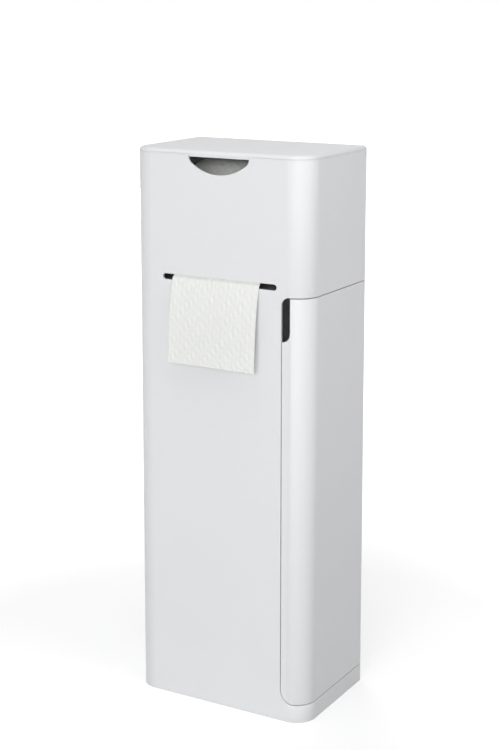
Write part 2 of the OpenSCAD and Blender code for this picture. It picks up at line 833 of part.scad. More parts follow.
// Magnetic catch: block on the front wall, magnet in it, plate on the door
module catch_block() {
  x0 = catch_x;
  low = catch_z - catch_h / 2;
  magnet_low = catch_z - magnet_h / 2;
  color(inner_white) difference() {
    union() {
      block([x0, front_in + catch_set, low], [x0 + catch_tab_w, catch_tab_y, low + catch_h]);
      block([x0 + catch_tab_l, catch_face_y, low], [x0 + catch_l, catch_back_y, low + catch_h]);
    }
    block([strike_x - run_fit, catch_face_y - over, magnet_low - run_fit],
          [strike_x + magnet_w + run_fit, catch_face_y + magnet_t + run_fit, magnet_low + magnet_h + run_fit]);
    at_catch_screws() screw_hole();
  }
}
module catch_magnet() {
  color(rubber_grey) block([strike_x, catch_face_y, catch_z - magnet_h / 2],
    [strike_x + magnet_w, catch_face_y + magnet_t, catch_z + magnet_h / 2]);
}
module strike_plate() {
  color(steel_grey) block([strike_x, catch_pad_y, catch_z - magnet_h / 2 - strike_over],
    [strike_x + magnet_w, catch_pad_y + strike_t, catch_z + magnet_h / 2 + strike_over]);
}

// Brush cup with a round foot edge
module brush_cup() {
  foot_r = cup_foot_r;
  color(white) translate([brush_x, brush_y, cup_low]) rotate_extrude() difference() {
    union() {
      translate([0, foot_r]) square([cup_r, cup_h - foot_r]);
      square([cup_r - foot_r, foot_r + over]);
      translate([cup_r - foot_r, foot_r]) circle(r = foot_r);
    }
    translate([0, cup_t]) square([cup_r - foot_r, cup_h]);
    translate([0, foot_r]) square([cup_r - cup_t, cup_h]);
    translate([cup_r - foot_r, foot_r]) circle(r = foot_r - cup_t);
    translate([-cup_r, -over]) square([cup_r, cup_h + 2 * over]);
  }
}

// Envelope of the brush head, round at both ends
module head_form() {
  round_r = head_round_r;
  rotate_extrude() intersection() {
    union() {
      translate([0, round_r]) square([head_r, head_l - 2 * round_r]);
      square([head_r - round_r, head_l]);
      for (z = [round_r, head_l - round_r]) translate([head_r - round_r, z]) circle(r = round_r);
    }
    square([head_r, head_l]);
  }
}

// Hard core inside the head, up to the collar's socket
module brush_core() {
  color(white) post(brush_x, brush_y, head_low + head_floor_t, stem_top - stem_play, stem_r);
}

// Soft head: a sleeve on the core with fins all round
module brush_head() {
  color(silicone_grey) translate([brush_x, brush_y, head_low]) difference() {
    intersection() {
      head_form();
      union() {
        cylinder(h = head_l, r = sleeve_r);
        for (i = [0 : head_fins - 1]) rotate(i * 360 / head_fins)
          translate([0, -fin_t / 2, 0]) cube([head_r, fin_t, head_l]);
      }
    }
    translate([0, 0, head_floor_t]) cylinder(h = head_l, r = stem_r + run_fit);
  }
}

// Collar that covers the cup
module brush_collar() {
  color(white) translate([brush_x, brush_y, collar_low]) difference() {
    union() {
      cylinder(h = collar_t, r = collar_r);
      cylinder(h = collar_dome_h, r1 = collar_r - collar_dome_w, r2 = socket_r + socket_rim);
      cylinder(h = collar_dome_h, r = socket_r + socket_rim);
    }
    translate([0, 0, -over]) cylinder(h = collar_t + socket_h, r = stem_r + run_fit);
  }
}

// Handle, with a socket over the core and a round end
module brush_handle() {
  low = handle_low;
  color(white) translate([brush_x, brush_y, 0]) difference() {
    union() {
      post(0, 0, low, low + socket_h, socket_r);
      translate([0, 0, low + socket_h]) cylinder(h = neck_h, r1 = socket_r, r2 = handle_d / 2);
      post(0, 0, low, brush_top - handle_d / 2, handle_d / 2);
      translate([0, 0, brush_top - handle_d / 2]) sphere(r = handle_d / 2);
    }
    post(0, 0, low - over, stem_top, stem_r + run_fit);
  }
}

// Screws
module back_screws() {
  color(steel_grey) at_back_screws() screw();
}
module shelf_screws() {
  color(steel_grey) at_shelf_screws() screw();
}
module cradle_screws() {
  color(steel_grey) at_cradle_screws() screw(short_screw_l);
}
module base_screws() {
  color(steel_grey) at_base_screws() screw();
}
module catch_screws() {
  color(steel_grey) at_catch_screws() screw();
}

housing_shell();
back_panel();
base_floor();
base_plate();
foot_pads();
roll_shelf();
cradle_left();
cradle_right();
spindle_tube();
spindle_caps();
roll_core();
toilet_roll();
paper_sheet();
lid();
lid_pins();
door();
door_pin_upper();
door_pin_lower();
catch_block();
catch_magnet();
strike_plate();
brush_cup();
brush_core();
brush_head();
brush_collar();
brush_handle();
back_screws();
shelf_screws();
cradle_screws();
base_screws();
catch_screws();
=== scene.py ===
"""Finishes of a slim toilet accessory stand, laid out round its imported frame."""

import bisect
import math

import bmesh
import bpy
from bpy.props import FloatProperty, FloatVectorProperty, PointerProperty
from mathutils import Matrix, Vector
from mathutils.noise import noise as noise_of


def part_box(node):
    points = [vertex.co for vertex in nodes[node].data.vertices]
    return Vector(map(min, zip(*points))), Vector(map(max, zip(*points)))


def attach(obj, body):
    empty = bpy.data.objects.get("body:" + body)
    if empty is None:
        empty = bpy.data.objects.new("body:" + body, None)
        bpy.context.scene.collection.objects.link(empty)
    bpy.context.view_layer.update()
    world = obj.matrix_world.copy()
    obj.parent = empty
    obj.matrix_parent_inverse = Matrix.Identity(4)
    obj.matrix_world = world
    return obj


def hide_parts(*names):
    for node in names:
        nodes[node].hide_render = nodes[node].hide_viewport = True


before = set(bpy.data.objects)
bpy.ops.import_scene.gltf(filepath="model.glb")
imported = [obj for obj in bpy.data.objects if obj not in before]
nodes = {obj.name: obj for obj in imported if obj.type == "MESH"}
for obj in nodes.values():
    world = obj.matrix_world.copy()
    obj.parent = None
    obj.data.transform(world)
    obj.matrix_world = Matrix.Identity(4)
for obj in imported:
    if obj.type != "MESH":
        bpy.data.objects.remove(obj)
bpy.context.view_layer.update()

bl_info = {
    "name": "Toilet Accessory Stand",
    "version": (1, 0, 0),
    "blender": (4, 5, 0),
    "location": "View3D > Sidebar > Stand",
    "description": "Shells, hanging paper, roll, brush and stage of a toilet accessory stand",
    "category": "Object",
}

MM = 0.001

# Pieces by finish
SHELLS = ("housing_shell", "back_panel", "lid", "door", "brush_cup", "brush_collar", "brush_handle")
INSIDES = (
    "base_floor", "base_plate", "roll_shelf", "cradle_left", "cradle_right",
    "spindle_tube", "spindle_caps", "catch_block", "brush_core",
)
METALS = (
    "lid_pins", "door_pin_upper", "door_pin_lower", "strike_plate", "back_screws",
    "shelf_screws", "cradle_screws", "base_screws", "catch_screws",
)

# Modifiers of the frame pieces
WELD_GAP = 0.002 * MM
FLAT_ANGLE = math.radians(0.4)
ROUND_ANGLE = math.radians(32.0)

# Pressed leaves, in shares of one leaf's cell
LEAF_WANDER = 0.4
LEAF_SHIFT_ACROSS = 0.25
LEAF_SHIFT_ALONG = 0.3
LEAF_LEANS = (-0.3, 0.45)
LEAF_HALF_WIDTH = 0.48
LEAF_HALF_LENGTH = 0.5
LEAF_SHOULDER = 0.6

# Route of the hanging sheet: offsets from the slot's inner upper edge, inward and upward
ROUTE_STEPS = 60
ROLL_CLEARANCE = 0.15 * MM
SLOT_ENTER = (1.05 * MM, 4.0 * MM)
SLOT_PULL = (0.95 * MM, -0.3 * MM)
SLOT_PUSH = (-0.6 * MM, -1.7 * MM)
SLOT_LEAVE_DROP = 0.4 * MM

# Free end of the hanging sheet
HELD_SHARE = 0.45
TEAR_DEPTH = 0.35 * MM
TEAR_HEIGHT = 2.5 * MM
TEAR_WAVES = 60.0
RELIEF_EVEN = 0.8
RELIEF_VARIES = 0.35
SWAY = 0.5 * MM

# Roll: cuts along its left end, face, right end and bore, and steps round its spindle
ROLL_CUTS = (72, 96, 72, 5)
ROLL_STEPS = 360
CORE_CLEARANCE = 0.05 * MM
SURFACE_BAND = 0.05 * MM
BORE_BAND = 0.1 * MM
ROLL_EDGE_WIDTH = 2.0 * MM
ROLL_EDGE_DROP = 0.4 * MM
RIDGE_DEPTH = 0.22 * MM
RIDGE_WAVE = 0.5
RIDGE_NOISE = 0.9

# Stage
FLOOR_SIZE = 30.0
FLOOR_SHADE = 0.62
GLOW_NEAR = 0.35
GLOW_FAR = 1.2
GLOW_LOW = 0.28
LAMP_AIM_HEIGHT = 0.38


class StandSizes(bpy.types.PropertyGroup):
    """Sizes of the mouldings that a user may change"""

    edge_round: FloatProperty(
        name="Edge round", description="Radius of the small round on the plastic edges",
        default=0.45 * MM, min=0.1 * MM, max=1.2 * MM, precision=5, unit="LENGTH")
    wall: FloatProperty(
        name="Wall", description="Thickness of the front wall round the paper slot",
        default=2.5 * MM, min=1 * MM, max=5 * MM, precision=5, unit="LENGTH")
    slot_height: FloatProperty(
        name="Slot height", description="Height of the paper slot's middle above the floor",
        default=442.0 * MM, min=0.3, max=0.5, precision=5, unit="LENGTH")
    slot_half: FloatProperty(
        name="Slot half", description="Half the height of the paper slot",
        default=3.0 * MM, min=2 * MM, max=5 * MM, precision=5, unit="LENGTH")


class PaperSizes(bpy.types.PropertyGroup):
    """Sizes of the paper that a user may change"""

    thickness: FloatProperty(
        name="Thickness", description="Thickness of the hanging paper",
        default=0.3 * MM, min=0.1 * MM, max=0.6 * MM, precision=5, unit="LENGTH")
    cell: FloatProperty(
        name="Cell", description="Mesh spacing on the hanging paper",
        default=0.6 * MM, min=0.4 * MM, max=2 * MM, precision=5, unit="LENGTH")
    hang_off: FloatProperty(
        name="Hang off", description="How far the lower edge stands off the front",
        default=10.5 * MM, min=4 * MM, max=14 * MM, precision=5, unit="LENGTH")
    hang_fall: FloatProperty(
        name="Hang fall", description="Height over which the paper turns from outward to downward",
        default=35.0 * MM, min=10 * MM, max=80 * MM, precision=5, unit="LENGTH")
    curl: FloatProperty(
        name="Curl", description="How far the free lower corners curl towards the front",
        default=0.9 * MM, min=0.0, max=4 * MM, precision=5, unit="LENGTH")
    emboss_depth: FloatProperty(
        name="Emboss depth", description="Depth of the leaves pressed into the paper",
        default=0.5 * MM, min=0.0, max=1 * MM, precision=5, unit="LENGTH")
    emboss_w: FloatProperty(
        name="Emboss width", description="Width of one pressed leaf with its groove",
        default=4.7 * MM, min=2 * MM, max=10 * MM, precision=5, unit="LENGTH")
    emboss_l: FloatProperty(
        name="Emboss length", description="Length of one pressed leaf with its groove",
        default=9.2 * MM, min=3 * MM, max=14 * MM, precision=5, unit="LENGTH")
    wind: FloatProperty(
        name="Wind", description="Spacing of the ridges of the wound layers on the roll's ends",
        default=1.3 * MM, min=0.6 * MM, max=4 * MM, precision=5, unit="LENGTH")


class StandColours(bpy.types.PropertyGroup):
    """Colours that a user may change"""

    shell: FloatVectorProperty(
        name="Shell", description="White plastic of the shells", subtype="COLOR",
        default=(0.815, 0.82, 0.835), min=0.0, max=1.0)
    inside: FloatVectorProperty(
        name="Inside", description="White plastic of the inner pieces", subtype="COLOR",
        default=(0.74, 0.75, 0.76), min=0.0, max=1.0)
    paper: FloatVectorProperty(
        name="Paper", description="Toilet paper", subtype="COLOR",
        default=(0.875, 0.885, 0.85), min=0.0, max=1.0)
    card: FloatVectorProperty(
        name="Card", description="Cardboard of the core", subtype="COLOR",
        default=(0.42, 0.33, 0.23), min=0.0, max=1.0)
    steel: FloatVectorProperty(
        name="Steel", description="Pins, screws and strike plate", subtype="COLOR",
        default=(0.62, 0.63, 0.64), min=0.0, max=1.0)
    rubber: FloatVectorProperty(
        name="Rubber", description="Foot pads", subtype="COLOR",
        default=(0.05, 0.05, 0.053), min=0.0, max=1.0)
    ferrite: FloatVectorProperty(
        name="Ferrite", description="Magnet", subtype="COLOR",
        default=(0.06, 0.06, 0.062), min=0.0, max=1.0)
    silicone: FloatVectorProperty(
        name="Silicone", description="Brush head", subtype="COLOR",
        default=(0.40, 0.43, 0.45), min=0.0, max=1.0)


class StandStage(bpy.types.PropertyGroup):
    """Camera, lamps and floor"""

    azimuth: FloatProperty(
        name="Azimuth", description="Camera's angle to the right of the front", subtype="ANGLE",
        default=math.radians(30.04))
    tilt: FloatProperty(
        name="Tilt", description="How far the camera looks down", subtype="ANGLE",
        default=math.radians(9.86))
    distance: FloatProperty(
        name="Distance", description="Level distance of the camera from the stand's middle",
        default=1.564, min=0.5, unit="LENGTH")
    height: FloatProperty(
        name="Height", description="Camera's height above the floor", default=0.7232, unit="LENGTH")
    lens: FloatProperty(
        name="Lens", description="Focal length in millimetres", default=75.19, min=20.0)
    shift: FloatProperty(name="Shift", description="Upright shift of the lens", default=-0.15)
    key_power: FloatProperty(
        name="Key", description="Power of the large lamp in front", default=118.0)
    side_power: FloatProperty(
        name="Side", description="Power of the near lamp on the right", default=1.4)
    top_power: FloatProperty(name="Top", description="Power of the lamp over the lid", default=17.0)
    back_power: FloatProperty(
        name="Back", description="Power of the broad lamp behind on the left", default=70.0)
    sky: FloatProperty(name="Sky", description="Strength of the even light all round", default=0.34)
    floor: FloatVectorProperty(
        name="Floor", description="Colour of the floor", subtype="COLOR",
        default=(0.93, 0.93, 0.93), min=0.0, max=1.0)


# Materials

def new_material(name):
    """A material with its Principled shader, and the function that adds nodes to it."""
    material = bpy.data.materials.new(name)
    material.use_nodes = True
    tree = material.node_tree
    shader = tree.nodes["Principled BSDF"]

    def add(kind, links=(), **values):
        """A new node with its settings or inputs and its links."""
        made = tree.nodes.new(kind)
        for key, value in values.items():
            if hasattr(made, key):
                setattr(made, key, value)
            else:
                made.inputs[key.replace("_", " ")].default_value = value
        for source, socket, target in links:
            tree.links.new(source.outputs[socket], made.inputs[target])
        return made

    return material, tree, shader, add


def object_coordinates(add):
    """The piece's own coordinates, in metres."""
    return add("ShaderNodeTexCoord")


def noise(add, coords, scale, detail=2.0, roughness=0.5):
    """Noise of a scale given in waves per metre."""
    made = add("ShaderNodeTexNoise", [(coords, "Object", "Vector")])
    made.inputs["Scale"].default_value = scale
    made.inputs["Detail"].default_value = detail
    made.inputs["Roughness"].default_value = roughness
    return made


def spread(tree, source, low, high, target):
    """Maps a 0 to 1 value onto low to high and links it to the target."""
    made = tree.nodes.new("ShaderNodeMapRange")
    made.inputs["To Min"].default_value = low
    made.inputs["To Max"].default_value = high
    tree.links.new(source, made.inputs["Value"])
    tree.links.new(made.outputs["Result"], target)
    return made


def scaled(colour, factor):
    """A colour made lighter or darker."""
    return tuple(min(1.0, c * factor) for c in colour)


def tint(tree, factor, colour, dark, light, target):
    """A blend between a darker and a lighter shade of a colour, linked to the target."""
    made = tree.nodes.new("ShaderNodeMix")
    made.data_type = "RGBA"
    made.inputs["A"].default_value = (*scaled(colour, dark), 1.0)
    made.inputs["B"].default_value = (*scaled(colour, light), 1.0)
    tree.links.new(factor, made.inputs["Factor"])
    tree.links.new(made.outputs["Result"], target)


def bump(tree, height, strength, distance, target, under=None):
    """A bump node over another normal, linked to the target."""
    made = tree.nodes.new("ShaderNodeBump")
    made.inputs["Strength"].default_value = strength
    made.inputs["Distance"].default_value = distance
    tree.links.new(height, made.inputs["Height"])
    if under is not None:
        tree.links.new(under.outputs["Normal"], made.inputs["Normal"])
    tree.links.new(made.outputs["Normal"], target)
    return made


def plastic(name, colour, roughness, grain):
    """Moulded plastic: a fine grain, a faint swirl of tone and an uneven satin."""
    material, tree, shader, add = new_material(name)
    coords = object_coordinates(add)
    tone = noise(add, coords, scale=9.0, detail=3.0)
    tint(tree, tone.outputs["Fac"], colour, 0.985, 1.01, shader.inputs["Base Color"])
    satin = noise(add, coords, scale=60.0, detail=4.0)
    spread(
        tree, satin.outputs["Fac"], roughness - 0.04, roughness + 0.05,
        shader.inputs["Roughness"])
    peel = noise(add, coords, scale=420.0)
    first = bump(tree, peel.outputs["Fac"], 0.10, 0.10 * MM, shader.inputs["Normal"])
    fine = noise(add, coords, scale=2600.0)
    bump(tree, fine.outputs["Fac"], grain, 0.05 * MM, shader.inputs["Normal"], first)
    shader.inputs["IOR"].default_value = 1.46
    shader.inputs["Subsurface Weight"].default_value = 0.3
    shader.inputs["Subsurface Radius"].default_value = (1.0, 1.0, 1.0)
    shader.inputs["Subsurface Scale"].default_value = 2.5 * MM
    return material


def tissue(colour):
    """Soft paper: a fibrous surface that lets a little light in."""
    material, tree, shader, add = new_material("tissue")
    coords = object_coordinates(add)
    clouds = noise(add, coords, scale=130.0, detail=4.0, roughness=0.6)
    tint(tree, clouds.outputs["Fac"], colour, 0.965, 1.02, shader.inputs["Base Color"])
    fibres = noise(add, coords, scale=2400.0, detail=5.0, roughness=0.75)
    bump(tree, fibres.outputs["Fac"], 0.35, 0.12 * MM, shader.inputs["Normal"])
    shader.inputs["Roughness"].default_value = 0.95
    shader.inputs["Specular IOR Level"].default_value = 0.2
    shader.inputs["Subsurface Weight"].default_value = 0.12
    shader.inputs["Subsurface Radius"].default_value = (1.0, 0.95, 0.85)
    shader.inputs["Subsurface Scale"].default_value = 1.2 * MM
    return material


def wound_edge(colour, axis):
    """The roll's ends: the edges of its layers in fine rings about its spindle."""
    material, tree, shader, add = new_material("wound_edge")
    coords = object_coordinates(add)
    centred = add("ShaderNodeMapping", [(coords, "Object", "Vector")])
    centred.inputs["Location"].default_value = (0.0, -axis.y, -axis.z)
    rings = add(
        "ShaderNodeTexWave", [(centred, "Vector", "Vector")],
        wave_type="RINGS", rings_direction="X")
    rings.inputs["Scale"].default_value = 150.0
    rings.inputs["Distortion"].default_value = 2.5
    rings.inputs["Detail Scale"].default_value = 0.4
    tint(tree, rings.outputs["Fac"], colour, 0.9, 1.0, shader.inputs["Base Color"])
    bump(tree, rings.outputs["Fac"], 0.5, 0.12 * MM, shader.inputs["Normal"])
    shader.inputs["Roughness"].default_value = 0.95
    return material


def card(colour):
    """Wound cardboard with the seam of its spiral."""
    material, tree, shader, add = new_material("wound_card")
    coords = object_coordinates(add)
    flecks = noise(add, coords, scale=900.0, detail=5.0, roughness=0.7)
    tint(tree, flecks.outputs["Fac"], colour, 0.8, 1.2, shader.inputs["Base Color"])
    turned = add("ShaderNodeMapping", [(coords, "Object", "Vector")])
    turned.inputs["Rotation"].default_value = (math.radians(35.0), 0.0, 0.0)
    seam = add(
        "ShaderNodeTexWave", [(turned, "Vector", "Vector")], wave_type="BANDS", bands_direction="Y")
    seam.inputs["Scale"].default_value = 9.0
    seam.inputs["Distortion"].default_value = 0.3
    first = bump(tree, seam.outputs["Fac"], 0.25, 0.15 * MM, shader.inputs["Normal"])
    bump(tree, flecks.outputs["Fac"], 0.3, 0.08 * MM, shader.inputs["Normal"], first)
    shader.inputs["Roughness"].default_value = 0.85
    return material


def metal(name, colour, metallic, roughness):
    """Plated steel or ferrite with fine scratches."""
    material, tree, shader, add = new_material(name)
    coords = object_coordinates(add)
    shade = noise(add, coords, scale=300.0, detail=3.0)
    tint(tree, shade.outputs["Fac"], colour, 0.9, 1.05, shader.inputs["Base Color"])
    scratches = noise(add, coords, scale=1800.0, detail=4.0, roughness=0.7)
    spread(
        tree, scratches.outputs["Fac"], roughness - 0.08, roughness + 0.12,
        shader.inputs["Roughness"])
    bump(tree, scratches.outputs["Fac"], 0.12, 0.04 * MM, shader.inputs["Normal"])
    shader.inputs["Metallic"].default_value = metallic
    return material


def rubber(name, colour, roughness, soft):
    """Rubber or silicone with a dull skin."""
    material, tree, shader, add = new_material(name)
    coords = object_coordinates(add)
    shade = noise(add, coords, scale=200.0, detail=3.0)
    tint(tree, shade.outputs["Fac"], colour, 0.93, 1.06, shader.inputs["Base Color"])
    skin = noise(add, coords, scale=1500.0, detail=3.0)
    bump(tree, skin.outputs["Fac"], 0.2, 0.06 * MM, shader.inputs["Normal"])
    shader.inputs["Roughness"].default_value = roughness
    shader.inputs["Subsurface Weight"].default_value = soft
    shader.inputs["Subsurface Scale"].default_value = 2.0 * MM
    return material


def dress(piece, material):
    """Puts one material on every slot of a piece."""
    slots = piece.data.materials
    if not slots:
        slots.append(material)
    for i in range(len(slots)):
        slots[i] = material


def soften(piece, width, segments=3):
    """Welds a frame piece's loose triangles and rounds its sharp edges with modifiers."""
    weld = piece.modifiers.new("weld", "WELD")
    weld.merge_threshold = WELD_GAP
    flat = piece.modifiers.new("flat_faces", "DECIMATE")
    flat.decimate_type = "DISSOLVE"
    flat.angle_limit = FLAT_ANGLE
    rounds = piece.modifiers.new("edge_round", "BEVEL")
    rounds.width = width
    rounds.segments = segments
    rounds.limit_method = "ANGLE"
    rounds.angle_limit = ROUND_ANGLE
    rounds.harden_normals = True
    rounds.use_clamp_overlap = True
    rounds.miter_outer = "MITER_ARC"


# Shapes of the paper

def leaf(u, v, width, length):
    """Height of the pressed pattern: 0 in the grooves, 1 on the staggered leaning leaves."""
    wander = Vector((u / width * LEAF_WANDER, v / length * LEAF_WANDER, 0.0))
    column, x = divmod(u / width + LEAF_SHIFT_ACROSS * noise_of(wander), 1.0)
    along_shift = LEAF_SHIFT_ALONG * noise_of(wander + Vector((7.3, 2.9, 4.1)))
    row, y = divmod(v / length + 0.5 * (column % 2) + along_shift, 1.0)
    x, y = x - 0.5, y - 0.5
    lean = LEAF_LEANS[int((row + column // 2) % 2)]
    inside = 1.0 - ((x + lean * y) / LEAF_HALF_WIDTH) ** 2 - (y / LEAF_HALF_LENGTH) ** 2
    return max(0.0, inside) ** LEAF_SHOULDER


def smooth_step(x, low, high):
    """0 below low, 1 above high and a soft rise between them."""
    t = min(1.0, max(0.0, (x - low) / (high - low)))
    return t * t * (3.0 - 2.0 * t)


def bezier(a, b, c, d, t):
    """A point on the curve from a to d that b and c pull."""
    s = 1.0 - t
    return s ** 3 * a + 3.0 * t * s ** 2 * b + 3.0 * t * t * s * c + t ** 3 * d


def paper_route(sizes, paper):
    """The paper's middle line in Y and Z: off the roll, through the slot and into its hang."""
    roll_low, roll_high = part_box("toilet_roll")
    shell_low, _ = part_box("housing_shell")
    sheet_low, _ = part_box("paper_sheet")
    axis = Vector(((roll_low.y + roll_high.y) / 2, (roll_low.z + roll_high.z) / 2))
    front = shell_low.y
    inner = front + sizes.wall
    top = sizes.slot_height + sizes.slot_half
    half_t = paper.thickness / 2
    enter = Vector((inner + SLOT_ENTER[0], top + SLOT_ENTER[1]))
    leave = Vector((front, sizes.slot_height - SLOT_LEAVE_DROP))
    pull = Vector((inner + SLOT_PULL[0], top + SLOT_PULL[1]))
    push = Vector((inner + SLOT_PUSH[0], top + SLOT_PUSH[1]))
    reach = enter - axis
    radius = (roll_high.z - roll_low.z) / 2 + half_t + ROLL_CLEARANCE
    turn = math.atan2(reach.y, reach.x) - math.acos(radius / reach.length)
    start = axis + radius * Vector((math.cos(turn), math.sin(turn)))
    hang = leave.y - sheet_low.z
    line = [start.lerp(enter, i / ROUTE_STEPS) for i in range(ROUTE_STEPS)]
    line += [bezier(enter, pull, push, leave, i / ROUTE_STEPS) for i in range(ROUTE_STEPS)]
    for i in range(4 * ROUTE_STEPS + 1):
        drop = hang * i / (4 * ROUTE_STEPS)
        out = paper.hang_off * (1.0 - math.exp(-drop / paper.hang_fall))
        line.append(Vector((leave.x - out, leave.y - drop)))
    return line


def lengths(line):
    """The distance along a line up to each of its points."""
    far = [0.0]
    for a, b in zip(line, line[1:]):
        far.append(far[-1] + (b - a).length)
    return far


def along(line, far, s):
    """The point and the direction at distance s along a line."""
    i = min(max(bisect.bisect_right(far, s) - 1, 0), len(line) - 2)
    step = line[i + 1] - line[i]
    return line[i] + step * ((s - far[i]) / step.length), step.normalized()


def finish_piece(name, shape, material, body):
    """Makes an object of a bmesh, gives it its material and lets it ride a body."""
    mesh = bpy.data.meshes.new(name)
    for face in shape.faces:
        face.smooth = True
    shape.to_mesh(mesh)
    shape.free()
    piece = bpy.data.objects.new(name, mesh)
    bpy.context.scene.collection.objects.link(piece)
    mesh.materials.append(material)
    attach(piece, body)
    return piece


def hanging_sheet(sizes, paper, material):
    """The paper's free end: a grid laid on its route, with pressed leaves and a torn lower edge."""
    low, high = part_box("paper_sheet")
    width = high.x - low.x
    middle = (low.x + high.x) / 2
    line = paper_route(sizes, paper)
    far = lengths(line)
    length = far[-1]
    across = round(width / paper.cell)
    down = round(length / paper.cell)
    shape = bmesh.new()
    bmesh.ops.create_grid(shape, x_segments=across, y_segments=down, size=0.5)
    for vert in shape.verts:
        u = vert.co.x
        s = (0.5 - vert.co.y) * length
        free = max(0.0, (s - HELD_SHARE * length) / ((1.0 - HELD_SHARE) * length))
        torn = TEAR_DEPTH * noise_of(Vector((u * TEAR_WAVES, 3.0, 1.0)))
        torn *= smooth_step(s, length - TEAR_HEIGHT, length)
        place, ahead = along(line, far, min(length, s))
        lift = paper.emboss_depth * (leaf(u * width, s, paper.emboss_w, paper.emboss_l) - 0.5)
        lift *= RELIEF_EVEN + RELIEF_VARIES * noise_of(Vector((u * 9.0, s * 90.0, 0.0)))
        sway = free * free * (SWAY * math.sin(5.1 * u + 0.6) + paper.curl * (2.0 * abs(u)) ** 3)
        out = Vector((ahead.y, -ahead.x))
        place = place + out * (lift + sway) + ahead * torn
        vert.co = Vector((middle + u * width, place.x, place.y))
    bmesh.ops.recalc_face_normals(shape, faces=shape.faces)
    bmesh.ops.solidify(shape, geom=shape.faces, thickness=paper.thickness)
    bmesh.ops.recalc_face_normals(shape, faces=shape.faces)
    sheet = finish_piece("hanging_paper", shape, material, "root")
    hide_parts("paper_sheet")


def wound_roll(paper, material, edge_material):
    """The roll: a ring spun about its spindle, with leaves on its face and ridges on its ends."""
    low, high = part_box("toilet_roll")
    core_low, core_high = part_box("roll_core")
    middle = (low + high) / 2
    outer = (high.z - low.z) / 2
    inner = (core_high.z - core_low.z) / 2 + CORE_CLEARANCE
    half = (high.x - low.x) / 2
    lift = 0.5 * paper.emboss_depth
    shape = bmesh.new()
    corners = [(-half, inner), (-half, outer - lift), (half, outer - lift), (half, inner)]
    ring = [shape.verts.new((x, 0.0, r)) for x, r in corners]
    sides = [shape.edges.new((ring[i], ring[(i + 1) % 4])) for i in range(4)]
    for side, cut in zip(sides, ROLL_CUTS):
        bmesh.ops.subdivide_edges(shape, edges=[side], cuts=cut)
    bmesh.ops.spin(
        shape, geom=shape.edges[:] + shape.verts[:], cent=(0.0, 0.0, 0.0), axis=(1.0, 0.0, 0.0),
        dvec=(0.0, 0.0, 0.0), angle=2.0 * math.pi, steps=ROLL_STEPS,
        use_merge=True, use_duplicate=False)
    bmesh.ops.remove_doubles(shape, verts=shape.verts, dist=0.01 * MM)
    bmesh.ops.recalc_face_normals(shape, faces=shape.faces)
    around = round(2.0 * math.pi * outer / paper.emboss_w)
    for vert in shape.verts:
        x, y, z = vert.co
        r = math.hypot(y, z)
        turn = math.atan2(y, z)
        edge = smooth_step(abs(x), half - ROLL_EDGE_WIDTH, half)
        if r > outer - lift - SURFACE_BAND:
            u = turn / (2.0 * math.pi) * around * paper.emboss_w
            pressed = 2.0 * leaf(x, u, paper.emboss_w, paper.emboss_w * 2.0) - 1.0
            raised = lift * pressed * (1.0 - edge)
            k = (r + raised - ROLL_EDGE_DROP * edge) / r
            vert.co = Vector((x, y * k, z * k))
        elif abs(x) > half - SURFACE_BAND and r > inner + BORE_BAND:
            wound = r / paper.wind - turn / (2.0 * math.pi)
            ridge = RIDGE_WAVE * math.sin(2.0 * math.pi * wound)
            spot = Vector((wound * 0.9, 0.3 * math.cos(turn), 0.3 * math.sin(turn)))
            ridge += RIDGE_NOISE * noise_of(spot)
            vert.co.x = math.copysign(half - RIDGE_DEPTH * (1.0 - ridge), x)
    bmesh.ops.translate(shape, verts=shape.verts, vec=middle)
    ends = [face for face in shape.faces if abs(face.normal.x) > 0.7]
    for face in ends:
        face.material_index = 1
    roll = finish_piece("wound_roll", shape, material, "roll")
    roll.data.materials.append(edge_material)
    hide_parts("toilet_roll")


# Operators, one for each group of pieces

class STAND_OT_shells(bpy.types.Operator):
    """Gives the outer shells their white satin plastic and soft edges"""

    bl_idname = "stand.shells"
    bl_label = "Shells"

    def execute(self, context):
        sizes, colours = context.scene.stand_sizes, context.scene.stand_colours
        white = plastic("shell_plastic", tuple(colours.shell), 0.5, 0.10)
        for name in SHELLS:
            dress(nodes[name], white)
            soften(nodes[name], sizes.edge_round)
        return {"FINISHED"}


class STAND_OT_insides(bpy.types.Operator):
    """Gives the inner mouldings their plainer plastic"""

    bl_idname = "stand.insides"
    bl_label = "Inner mouldings"

    def execute(self, context):
        sizes, colours = context.scene.stand_sizes, context.scene.stand_colours
        off_white = plastic("inner_plastic", tuple(colours.inside), 0.5, 0.16)
        for name in INSIDES:
            dress(nodes[name], off_white)
            soften(nodes[name], 0.6 * sizes.edge_round, 2)
        return {"FINISHED"}


class STAND_OT_fittings(bpy.types.Operator):
    """Gives the pins, screws, catch and pads their metal and rubber"""

    bl_idname = "stand.fittings"
    bl_label = "Fittings"

    def execute(self, context):
        colours = context.scene.stand_colours
        steel = metal("plated_steel", tuple(colours.steel), 1.0, 0.32)
        for name in METALS:
            dress(nodes[name], steel)
        dress(nodes["catch_magnet"], metal("ferrite", tuple(colours.ferrite), 0.2, 0.6))
        dress(nodes["foot_pads"], rubber("pad_rubber", tuple(colours.rubber), 0.8, 0.0))
        return {"FINISHED"}


class STAND_OT_brush(bpy.types.Operator):
    """Gives the brush head its silicone"""

    bl_idname = "stand.brush"
    bl_label = "Brush head"

    def execute(self, context):
        colours = context.scene.stand_colours
        dress(nodes["brush_head"], rubber("silicone", tuple(colours.silicone), 0.5, 0.1))
        return {"FINISHED"}


